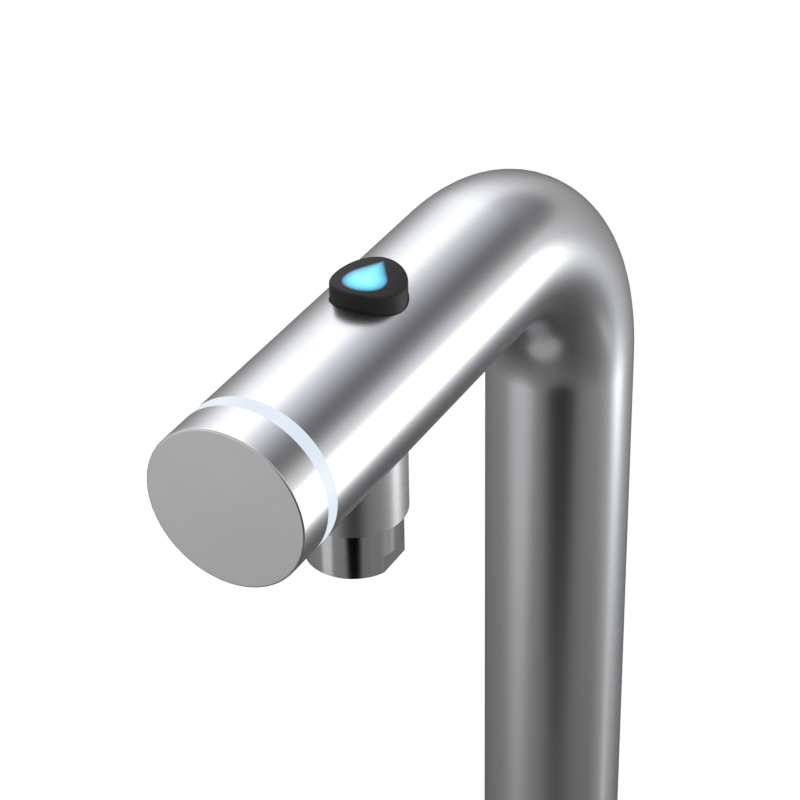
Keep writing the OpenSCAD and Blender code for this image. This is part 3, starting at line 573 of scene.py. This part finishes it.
def makeSpring(material):
    # the coil under the button's flange, made at rest
    shape = springShape
    foot = Vector((0, -tapSizes["buttonReach"], shape["foot"]))
    start = foot + Vector((shape["radius"], 0, shape["wire"] / 2))
    build = bmesh.new()
    bmesh.ops.create_circle(build, segments=shape["sides"], radius=shape["wire"] / 2,
                            matrix=Matrix.Translation(start) @ Matrix.Rotation(math.pi / 2, 4, "X"))
    steps = int(shape["turns"] * shape["steps"])
    bmesh.ops.spin(build, geom=build.verts[:] + build.edges[:], cent=foot, axis=(0, 0, 1), steps=steps,
                   angle=math.tau * shape["turns"], dvec=(0, 0, (shape["height"] - shape["wire"]) / steps))
    ends = [edge for edge in build.edges if len(edge.link_faces) == 1]
    bmesh.ops.holes_fill(build, edges=ends, sides=shape["sides"])
    bmesh.ops.recalc_face_normals(build, faces=build.faces)
    piece = newPiece("buttonSpring", build, material, "tap", "button_spring")
    sharpen(piece, shape["crease"])
    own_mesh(piece)


threadShape = {"major": 16 * mm, "minor": 15.1 * mm, "pitch": 1.5 * mm, "low": -58.6 * mm, "high": -1.2 * mm,
               "flank": 0.42, "crest": 0.14,  # their heights as shares of the pitch
               "rootSink": 0.05 * mm, "crestDrop": 0.02 * mm, "steps": 40, "crease": 30,
               "shankTop": 1.4 * mm, "shankInside": 14 * mm}  # its outside is below one, beyond the other


def makeThreadedFoot(material):
    # the foot with its thread cut: the plain shank turned down, and one ridge wound up it
    shape = threadShape
    build = bmesh.new()
    build.from_mesh(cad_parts["foot_shank"].data)
    bmesh.ops.remove_doubles(build, verts=build.verts, dist=meshRules["weld"])
    for vert in build.verts:
        reach = math.hypot(vert.co.x, vert.co.y)
        if vert.co.z < shape["shankTop"] and reach > shape["shankInside"]:
            keep = (reach - (shape["major"] - shape["minor"])) / reach
            vert.co.x, vert.co.y = vert.co.x * keep, vert.co.y * keep
    root, top = shape["minor"] - shape["rootSink"], shape["major"] - shape["crestDrop"]
    pitch = shape["pitch"]
    rise, crest = shape["flank"] * pitch, shape["crest"] * pitch
    ridge = [(root, 0.0), (top, rise), (top, rise + crest), (root, 2 * rise + crest)]
    verts = [build.verts.new((r, 0, shape["low"] + z)) for r, z in ridge]
    edges = [build.edges.new(pair) for pair in zip(verts, verts[1:] + verts[:1])]
    turns = int((shape["high"] - shape["low"]) / pitch) - 1
    bmesh.ops.spin(build, geom=verts + edges, cent=(0, 0, 0), axis=(0, 0, 1), angle=math.tau * turns,
                   steps=shape["steps"] * turns, dvec=(0, 0, pitch / shape["steps"]))
    ends = [edge for edge in build.edges if len(edge.link_faces) == 1]
    bmesh.ops.holes_fill(build, edges=ends, sides=len(ridge))
    bmesh.ops.recalc_face_normals(build, faces=build.faces)
    piece = newPiece("threadedFoot", build, material, "tap", "foot_shank")
    sharpen(piece, shape["crease"])


# a point on each axis about which pieces are turned
onSpout, onNozzle, onColumn = (0, 0, tapSizes["spoutHeight"]), (0, -tapSizes["nozzleReach"], 0), (0, 0, 0)
capSteel = turnedStainless("turnedStainlessCap", onSpout, "Y")
collarSteel = turnedStainless("turnedStainlessCollar", onNozzle, "Z")
baseSteel = turnedStainless("turnedStainlessBase", onColumn, "Z")
brass = turnedBrass()

makeTube(satinStainless())
makeTurned("spoutCap", "end_cap", capSteel, onSpout, "Y")
makeTurned("litRing", "light_ring", frostedAcrylic(), onSpout, "Y")
makeTurned("outletCollar", "nozzle_collar", collarSteel, onNozzle, "Z")
makeTurned("aeratorCup", "aerator_housing", polishedChrome(), onNozzle, "Z")
makeTurned("footRing", "base_ring", baseSteel, onColumn, "Z")
makeButton(mouldedPlastic("charcoalAbs"))
makeSpring(platedSteel("springWire"))
makeThreadedFoot(brass)
print("pieces made")

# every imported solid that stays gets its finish
dressing = {
    litPolycarbonate(): ["light_guide"],
    mouldedPlastic("glassFilledNylon"): ["end_plug", "button_housing", "switch_case", "signal_socket"],
    mouldedPlastic("whiteAcetal"): ["flow_straightener", "hose_spacers", "switch_plunger"],
    mouldedPlastic("pvcSheathBlack"): ["signal_cable"],
    mouldedPlastic("pvcSheathWhite"): ["ring_cable"],
    mouldedPlastic("vulcanisedFibre"): ["elbow_seal"],
    mouldedRubber("epdmRubber"): ["cap_o_ring", "plug_o_ring", "button_seal", "aerator_washer",
                                  "deck_gasket", "rubber_washer", "shank_grommet"],
    mouldedRubber("siliconeHose"): ["inner_hose"],
    brass: ["outlet_elbow", "backnut"],
    platedSteel("brightStainless"): ["hose_clips", "board_screws", "foot_screws", "inlet_stem"],
    platedSteel("zincedWasher"): ["steel_washer"],
    glassBoard("greenBoard"): ["button_board"],
    glassBoard("whiteBoard"): ["ring_board"],
    lampPhosphor(): ["ring_leds", "button_leds"],
    foamSleeve(): ["hose_insulation"]}
for finish, names in dressing.items():
    for name in names:
        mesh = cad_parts[name].data
        mesh.materials.clear()
        mesh.materials.append(finish)
print("solids dressed")


studio = {
    "wall": "#fefefe", "floorHeight": cadLow.z - 0.5 * mm, "floorSize": 12.0, "floorGlow": 0.14,
    "floorColours": ("#f8f8f8", "#f5f5f5"), "floorCloud": 33.3 * mm,
    # the room by the height of the direction, from straight down (0) to straight up (1)
    "room": [(0.35, "#4f4f4f"), (0.65, "#9e9e9e"), (1.0, "#1a1a1a")],
    # soft panels round the tap: azimuth, elevation, half angle, soft edge, strength. They are read off
    # the bands of light on the steel; a negative strength is a grey card that takes light away.
    "panels": {
        "backLeft": (128.0, 58.7, 11.1, 49.4, 1.63),
        "right": (39.0, -15.3, 6.8, 15.6, 6.00),
        "wideFront": (-90.0, -14.3, 28.2, 43.6, 0.16),
        "frontRight": (17.0, 9.7, 1.0, 83.0, 0.70),
        "left": (197.5, 42.4, 38.3, 74.7, 0.42),
        "greyCard": (69.1, 32.4, 20.9, 8.6, -0.60),
        "below": (-102.2, -82.4, 10.9, 6.9, 0.42),
        "rear": (75.3, -2.5, 23.4, 17.6, 0.23),
        "frontLeft": (-124.9, -10.0, 27.3, 3.8, 0.39),
        "lowRight": (35.4, -42.4, 1.0, 6.0, 0.67),
        "lowCard": (1.0, -41.3, 1.1, 16.1, -0.11)},
    "tints": {"backLeft": "#f8f9ff", "right": "#fafdff"},
    "blackCard": (-61.0, -12.8, 24.4, 6.9, 0.985)}


def panelLight(tree, direction, panel):
    azimuth, elevation, half, soft = (math.radians(a) for a in panel[:4])
    level, rise = math.cos(elevation), math.sin(elevation)
    aim = (math.cos(azimuth) * level, math.sin(azimuth) * level, rise)
    facing = addNode(tree, "VectorMath", {0: direction, 1: aim}, "Value", operation="DOT_PRODUCT")
    angle = addNode(tree, "Math", {0: facing}, operation="ARCCOSINE")
    return addNode(tree, "MapRange", {"Value": angle, "From Min": half, "From Max": half + soft,
                                      "To Min": panel[4], "To Max": 0.0}, interpolation_type="SMOOTHSTEP")


def makeWorld():
    world = bpy.data.worlds.new("softStudio")
    bpy.context.scene.world = world
    world.use_nodes = True
    tree = world.node_tree
    tree.nodes.clear()
    direction = addNode(tree, "TexCoord", {}, "Generated")
    height = addNode(tree, "SeparateXYZ", {"Vector": direction}, "Z")
    rise = addNode(tree, "MapRange", {"Value": height, "From Min": -1.0, "From Max": 1.0})
    total = addNode(tree, "ValToRGB", {"Fac": rise})
    stops = total.node.color_ramp.elements
    (low, lowColour), (middle, middleColour), (high, highColour) = studio["room"]
    stops[0].position, stops[0].color = low, linear(lowColour)
    stops[1].position, stops[1].color = high, linear(highColour)
    stops.new(middle).color = linear(middleColour)
    for name, panel in studio["panels"].items():
        tint = linear(studio["tints"].get(name, "#ffffff"))[:3]
        total = addNode(tree, "VectorMath", {0: panelLight(tree, direction, panel), 1: tint, 2: total},
                        operation="MULTIPLY_ADD")
    carded = addNode(tree, "Math", {0: 1.0, 1: panelLight(tree, direction, studio["blackCard"])},
                     operation="SUBTRACT")
    total = addNode(tree, "VectorMath", {0: total, "Scale": carded}, operation="SCALE")
    total = addNode(tree, "VectorMath", {0: total, 1: (0, 0, 0)}, operation="MAXIMUM")
    light = addNode(tree, "Background", {"Color": total})
    wall = addNode(tree, "Background", {"Color": linear(studio["wall"])})
    seen = addNode(tree, "LightPath", {}, "Is Camera Ray")
    addNode(tree, "OutputWorld", {"Surface": addNode(tree, "MixShader", {0: seen, 1: light, 2: wall})})


def makeFloor():
    material, tree, point = newMaterial("paleFloor")
    first, second = (linear(code) for code in studio["floorColours"])
    cloud = addNode(tree, "TexNoise", {"Vector": point, "Scale": 1 / studio["floorCloud"], "Detail": 3.0})
    pale = addNode(tree, "Mix", {"Factor": cloud, 6: first, 7: second}, 2, data_type="RGBA")
    shader = addNode(tree, "BsdfPrincipled", {
        "Base Color": pale, "Roughness": 0.9, "Specular IOR Level": 0.0, "Emission Color": pale,
        "Emission Strength": studio["floorGlow"]})
    addNode(tree, "OutputMaterial", {"Surface": shader})
    build = bmesh.new()
    bmesh.ops.create_grid(build, x_segments=1, y_segments=1, size=studio["floorSize"] / 2)
    bmesh.ops.translate(build, vec=(0, 0, studio["floorHeight"]), verts=build.verts)
    mesh = bpy.data.meshes.new("floor")
    build.to_mesh(mesh)
    build.free()
    mesh.materials.append(material)
    floor = bpy.data.objects.new("floor", mesh)
    bpy.context.scene.collection.objects.link(floor)
    floor.visible_glossy = False  # the metal shows the studio's panels, as in the photograph
    floor.visible_shadow = False  # and the low panels light it; the floor still takes the tap's shadow


makeWorld()
makeFloor()
bpy.context.scene.view_settings.view_transform = "Standard"
print("studio set")
